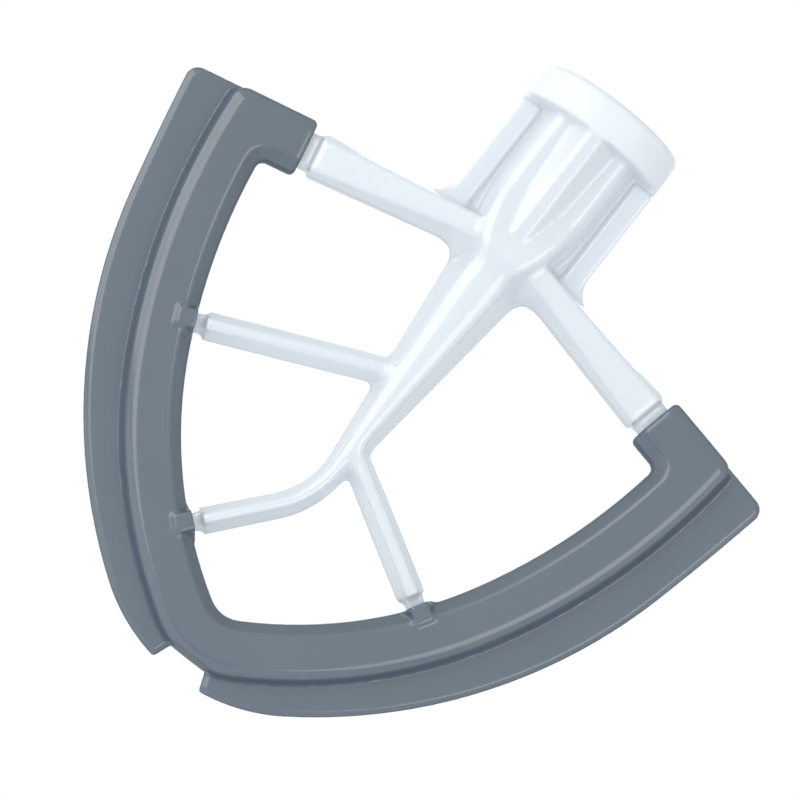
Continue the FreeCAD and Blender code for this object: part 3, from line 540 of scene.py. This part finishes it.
def makeFinish(name, finish):
    material = bpy.data.materials.new(name)
    material.use_nodes = True
    tree = material.node_tree
    surface = tree.nodes["Principled BSDF"]
    skin = addNode(tree, "ShaderNodeGroup", (-700, 100), node_tree=skinUnevenness)
    skin.inputs["Mottle Scale"].default_value = finish["mottleScale"]
    skin.inputs["Grain Scale"].default_value = finish["grainScale"]
    skin.inputs["Light Color"].default_value = (*finish["light"], 1)
    skin.inputs["Dark Color"].default_value = (*finish["dark"], 1)
    skin.inputs["Smooth Roughness"].default_value = finish["smooth"]
    skin.inputs["Rough Roughness"].default_value = finish["rough"]
    bump = addNode(tree, "ShaderNodeBump", (-350, -200))
    bump.inputs["Strength"].default_value = finish["bumpStrength"]
    bump.inputs["Distance"].default_value = finish["bumpDistance"]
    surface.inputs["Coat Weight"].default_value = finish["coat"]
    surface.inputs["Coat Roughness"].default_value = finish["coatRoughness"]
    surface.inputs["Coat IOR"].default_value = finish["coatIor"]
    surface.inputs["Specular IOR Level"].default_value = finish["specular"]
    link = tree.links.new
    link(skin.outputs["Color"], surface.inputs["Base Color"])
    link(skin.outputs["Roughness"], surface.inputs["Roughness"])
    link(skin.outputs["Height"], bump.inputs["Height"])
    link(bump.outputs["Normal"], surface.inputs["Normal"])
    material.diffuse_color = (*finish["light"], 1)
    return material


def dullCollar(material, finish):
    # the collar's coating is duller and whiter than the rest
    tree = material.node_tree
    surface = tree.nodes["Principled BSDF"]
    skin = surface.inputs["Roughness"].links[0].from_node
    place = addNode(tree, "ShaderNodeTexCoord", (-1100, -300))
    height = addNode(tree, "ShaderNodeSeparateXYZ", (-900, -300))
    isCollar = addNode(tree, "ShaderNodeMapRange", (-700, -300))
    isCollar.inputs["From Min"].default_value = finish["collarFoot"] - finish["collarFade"]
    isCollar.inputs["From Max"].default_value = finish["collarFoot"] + finish["collarFade"]
    colourShare, skinColour, collarColour, colour = addMix(tree, "RGBA", (-350, 350))
    collarColour.default_value = (*finish["collarColour"], 1)
    roughShare, skinRoughness, collarRoughness, roughness = addMix(tree, "FLOAT", (-350, 100))
    collarRoughness.default_value = finish["collarRoughness"]
    coatShare, skinCoat, collarCoat, coat = addMix(tree, "FLOAT", (-350, -450))
    skinCoat.default_value = finish["coat"]
    collarCoat.default_value = finish["collarCoat"]
    link = tree.links.new
    link(place.outputs["Object"], height.inputs["Vector"])
    link(height.outputs["Z"], isCollar.inputs["Value"])
    for share in (colourShare, roughShare, coatShare):
        link(isCollar.outputs["Result"], share)
    link(skin.outputs["Color"], skinColour)
    link(skin.outputs["Roughness"], skinRoughness)
    link(colour, surface.inputs["Base Color"])
    link(roughness, surface.inputs["Roughness"])
    link(coat, surface.inputs["Coat Weight"])


def dullGrazingPaintedCreaseShade(material, finish):
    # the silicone's coat fades where it is seen edge on, and a band at the crease's depth beside
    # the fin loses its coat too, which paints shade into the crease
    tree = material.node_tree
    surface = tree.nodes["Principled BSDF"]
    facing = addNode(tree, "ShaderNodeLayerWeight", (-1150, -450))
    facing.inputs["Blend"].default_value = finish["facingBlend"]
    place = addNode(tree, "ShaderNodeTexCoord", (-1750, -650))
    across = addNode(tree, "ShaderNodeSeparateXYZ", (-1550, -650))
    depth = addNode(tree, "ShaderNodeMath", (-1350, -650), operation="ABSOLUTE")
    # painted shade: a band at the crease's depth takes the coat off, so the crease beside the fin
    # reads dark
    creaseShadeBand = addNode(tree, "ShaderNodeMath", (-1150, -650), operation="COMPARE")
    creaseShadeBand.inputs[1].default_value = finish["creaseDepth"]
    creaseShadeBand.inputs[2].default_value = finish["creaseHalf"]
    dull = addNode(tree, "ShaderNodeMath", (-900, -500), operation="MAXIMUM")
    coat = addNode(tree, "ShaderNodeMapRange", (-650, -400))
    coat.inputs["From Min"].default_value = finish["dull"][0]
    coat.inputs["From Max"].default_value = finish["dull"][1]
    coat.inputs["To Min"].default_value = finish["coat"]
    coat.inputs["To Max"].default_value = 0.0
    link = tree.links.new
    link(place.outputs["Object"], across.inputs["Vector"])
    link(across.outputs["Y"], depth.inputs[0])
    link(depth.outputs[0], creaseShadeBand.inputs[0])
    link(facing.outputs["Facing"], dull.inputs[0])
    link(creaseShadeBand.outputs[0], dull.inputs[1])
    link(dull.outputs[0], coat.inputs["Value"])
    link(coat.outputs["Result"], surface.inputs["Coat Weight"])


def dress(piece, material):
    piece.data.materials.clear()
    piece.data.materials.append(material)


coatMaterial = makeFinish("bakedCoating", bakedCoating)
dullCollar(coatMaterial, bakedCoating)
siliconeMaterial = makeFinish("satinSilicone", satinSilicone)
dullGrazingPaintedCreaseShade(siliconeMaterial, satinSilicone)
dress(castingCoat, coatMaterial)
dress(castingRim, coatMaterial)
dress(edgeSkin, siliconeMaterial)
print("finishes made")


# Studio: two upright soft boxes near the camera, weaker ones at the sides and the back,
# and a plain pale floor

studio = {
    "floorZ": -0.62,
    "floorSize": 8.0,
    "floorColour": (0.86, 0.87, 0.88),
    "floorRoughness": 0.7,
    "ambient": 0.70,
    "ambientColour": (0.86, 0.955, 1.0),
    "backdrop": 1.0,            # 1 is white
    "glossyShare": 0.5,         # how much of the white backdrop the glossy finishes reflect
    "keyColour": (1.0, 0.965, 0.94),
    "softBoxes": {              # angles in degrees
        "leftStrip": {"azimuth": -33, "elevation": 0, "distance": 1.0,
                      "width": 0.56, "height": 0.8, "glow": 1.5},
        "rightStrip": {"azimuth": 33, "elevation": 0, "distance": 1.0,
                       "width": 0.56, "height": 0.8, "glow": 1.42},
        "leftFill": {"azimuth": -80, "elevation": 4, "distance": 1.0,
                     "width": 1.2, "height": 1.0, "glow": 1.15},
        "rightFill": {"azimuth": 72, "elevation": 0, "distance": 1.0,
                      "width": 0.9, "height": 1.0, "glow": 0.2},
        "backBox": {"azimuth": 180, "elevation": 20, "distance": 1.3,
                    "width": 1.3, "height": 1.0, "glow": 1.1},
    },
}


def makeSoftBox(name, box):
    azimuth = math.radians(box["azimuth"])
    elevation = math.radians(box["elevation"])
    towards = Vector((math.sin(azimuth) * math.cos(elevation),
                      -math.cos(azimuth) * math.cos(elevation), math.sin(elevation)))
    data = bpy.data.lights.new(name, "AREA")
    data.shape = "RECTANGLE"
    data.size = box["width"]
    data.size_y = box["height"]
    data.color = studio["keyColour"]
    data.energy = box["glow"] * math.pi * box["width"] * box["height"]
    lamp = bpy.data.objects.new(name, data)
    bpy.context.collection.objects.link(lamp)
    lamp.location = Vector(camera["target"]) + towards * box["distance"]
    lamp.rotation_euler = towards.to_track_quat("Z", "Y").to_euler()
    lamp.visible_camera = False


def makeFloor():
    bpy.ops.object.select_all(action="DESELECT")
    bpy.ops.mesh.primitive_plane_add(size=studio["floorSize"], location=(0, 0, studio["floorZ"]))
    floor = bpy.context.object
    floor.name = "floor"
    paint = bpy.data.materials.new("floorPaint")
    paint.use_nodes = True
    surface = paint.node_tree.nodes["Principled BSDF"]
    surface.inputs["Base Color"].default_value = (*studio["floorColour"], 1)
    surface.inputs["Roughness"].default_value = studio["floorRoughness"]
    dress(floor, paint)


def makeAir():
    # even light from all around, and a white backdrop for the camera and for glossy finishes
    world = bpy.data.worlds.new("studioAir")
    bpy.context.scene.world = world
    world.use_nodes = True
    tree = world.node_tree
    tree.nodes.clear()
    output = addNode(tree, "ShaderNodeOutputWorld", (600, 0))
    blend = addNode(tree, "ShaderNodeMixShader", (400, 0))
    ambient = addNode(tree, "ShaderNodeBackground", (150, -120))
    ambient.inputs["Color"].default_value = (*studio["ambientColour"], 1)
    ambient.inputs["Strength"].default_value = studio["ambient"]
    backdrop = addNode(tree, "ShaderNodeBackground", (150, 120))
    backdrop.inputs["Color"].default_value = (1, 1, 1, 1)
    backdrop.inputs["Strength"].default_value = studio["backdrop"]
    rays = addNode(tree, "ShaderNodeLightPath", (-350, 200))
    seen = addNode(tree, "ShaderNodeMath", (-50, 250), operation="MULTIPLY_ADD")
    seen.inputs[1].default_value = studio["glossyShare"]
    link = tree.links.new
    link(rays.outputs["Is Glossy Ray"], seen.inputs[0])
    link(rays.outputs["Is Camera Ray"], seen.inputs[2])
    link(seen.outputs[0], blend.inputs["Fac"])
    link(ambient.outputs["Background"], blend.inputs[1])
    link(backdrop.outputs["Background"], blend.inputs[2])
    link(blend.outputs["Shader"], output.inputs["Surface"])


for boxName, softBox in studio["softBoxes"].items():
    makeSoftBox(boxName, softBox)
makeFloor()
makeAir()
bpy.context.scene.view_settings.view_transform = "Standard"
print("studio lit")
